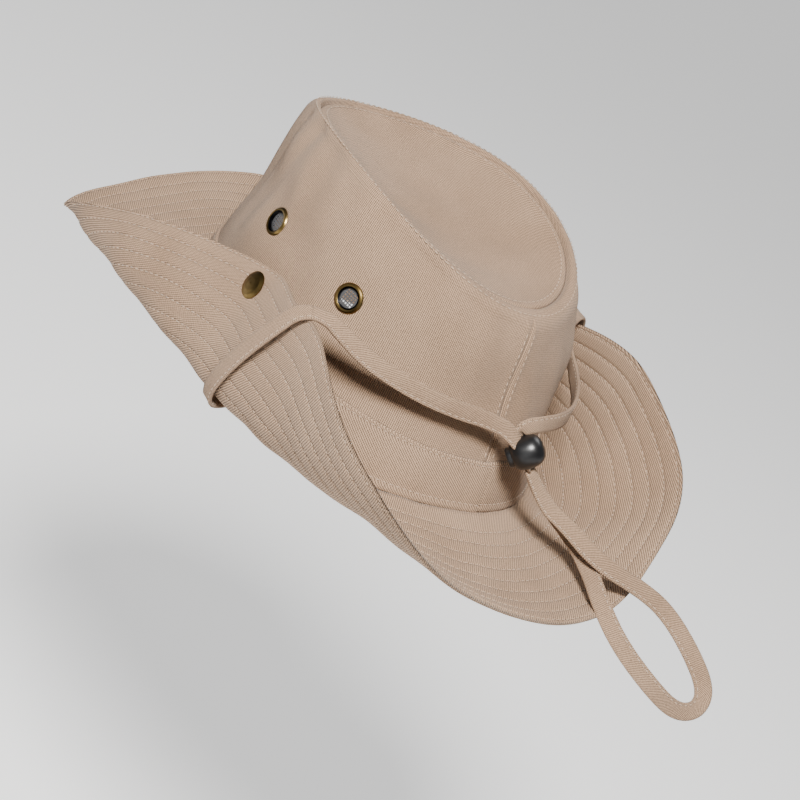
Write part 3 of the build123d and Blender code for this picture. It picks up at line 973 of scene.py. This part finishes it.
def build_cord_lock():
    """A ball-shaped body, open at the button's end, and the button that stands in it."""
    ball_middle = -1.6
    half_length = 7.8
    half_width = 7.4
    squareness = 2.6            # 2 is an ellipse
    shares = np.cos(np.radians(np.linspace(176, 38.6, 29)))
    ball = [(ball_middle + half_length * k, half_width * (1 - abs(k) ** squareness) ** (1 / squareness))
            for k in shares]
    lip_and_bore = [(4.7, 5.25), (4.8, 5.05), (4.7, 4.85), (4.0, 4.75), (-7.2, 4.75), (-8.3, 4.0),
                    (-8.4, 0.6)]
    body = lathe("cord_lock_shell", ball + lip_and_bore)
    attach(body, "cord_lock")
    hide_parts("cord_lock_body")
    cup = [(0.5, 0.6), (0.5, 3.8), (-3.2, 3.8), (-3.2, 4.5), (6.4, 4.5), (6.9, 4.35), (7.2, 4.0),
           (7.25, 3.6), (6.9, 3.3), (6.85, 0.4)]
    button = lathe("cord_lock_button", cup)
    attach(button, "lock_plunger")
    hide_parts("cord_lock_plunger")
    return [body, button, frame["nodes"]["cord_lock_spring"]]


# ------------------------------------------------------------------ hardware kept from the frame
def dress_hardware():
    """Materials for the CAD's own eyelets, snaps and spring, which are shown as they are."""
    for name, node in frame["nodes"].items():
        if name.endswith("eyelet_ring"):
            material = make_brass(f"brass_{name}", tuple(box_middle(name) * MM))
        elif "eyelet_mesh" in name:
            material = black_wire
        elif "snap" in name or "washer" in name:
            material = brass
        elif name == "cord_lock_spring":
            material = spring_wire
        else:
            continue
        node.data.materials.clear()
        node.data.materials.append(material)


# ------------------------------------------------------------------ camera, light and floor
def build_camera():
    """A long lens to the hat's right front, a little above it and rolled, so that the hat looks tilted."""
    azimuth = math.radians(42.1)
    elevation = math.radians(24.4)
    roll = math.radians(30.8)
    distance = 0.995
    toward = Vector((math.sin(azimuth) * math.cos(elevation), -math.cos(azimuth) * math.cos(elevation),
                     math.sin(elevation)))
    right = Vector((math.cos(azimuth), math.sin(azimuth), 0))
    up = toward.cross(right)
    local_x = right * math.cos(roll) + up * math.sin(roll)
    local_y = up * math.cos(roll) - right * math.sin(roll)
    data = bpy.data.cameras.new("camera")
    data.sensor_width = 36.0
    data.lens = 96.4
    data.shift_x = 0.0555
    data.shift_y = -0.0239
    camera = bpy.data.objects.new("camera", data)
    turn = Matrix((local_x, local_y, toward)).transposed().to_4x4()
    camera.matrix_world = Matrix.Translation(toward * distance) @ turn
    bpy.context.collection.objects.link(camera)
    bpy.context.scene.camera = camera


def area_light(name, place, size, power, colour=(1, 1, 1)):
    """A round lamp that points at the crown's middle; place and size in metres."""
    light = bpy.data.lights.new(name, "AREA")
    light.shape = "DISK"
    light.size = size
    light.energy = power
    light.color = colour
    lamp = bpy.data.objects.new(name, light)
    lamp.location = place
    lamp.rotation_euler = (Vector((0, 0, 0.04)) - Vector(place)).to_track_quat("-Z", "Y").to_euler()
    bpy.context.collection.objects.link(lamp)


def build_lights():
    area_light("key", (0.62, -0.80, 1.10), 0.36, 64, (1.0, 0.985, 0.96))
    area_light("fill", (1.2, -1.0, 0.2), 0.8, 2.0)
    area_light("back", (-0.3, 0.9, 1.2), 0.8, 8)
    world = bpy.data.worlds.new("studio")
    world.use_nodes = True
    background = world.node_tree.nodes["Background"]
    background.inputs["Color"].default_value = (1, 1, 1, 1)
    background.inputs["Strength"].default_value = 0.14
    bpy.context.scene.world = world


def build_floor():
    """A wide pale floor, well below the hat."""
    drop = 0.45                 # metres
    reach = 9.0                 # metres
    height = cad_bounds[0][2] - drop
    mesh = bpy.data.meshes.new("floor")
    mesh.from_pydata([(-reach, -reach, height), (reach, -reach, height),
                      (reach, reach, height), (-reach, reach, height)], [], [(0, 1, 2, 3)])
    floor = bpy.data.objects.new("floor", mesh)
    pale, _, shader = node_material("pale_floor")
    shader.inputs["Base Color"].default_value = (0.93, 0.93, 0.93, 1)
    shader.inputs["Roughness"].default_value = 0.9
    shader.inputs["Emission Color"].default_value = (1, 1, 1, 1)
    shader.inputs["Emission Strength"].default_value = 0.6
    mesh.materials.append(pale)
    bpy.context.collection.objects.link(floor)


build_camera()
build_lights()
build_floor()
build_tape(build_cord_lock())
build_brim()
build_crown_sides()
build_crown_tip()
build_crown_stitching()
build_hatband()
build_sweatband()
dress_hardware()
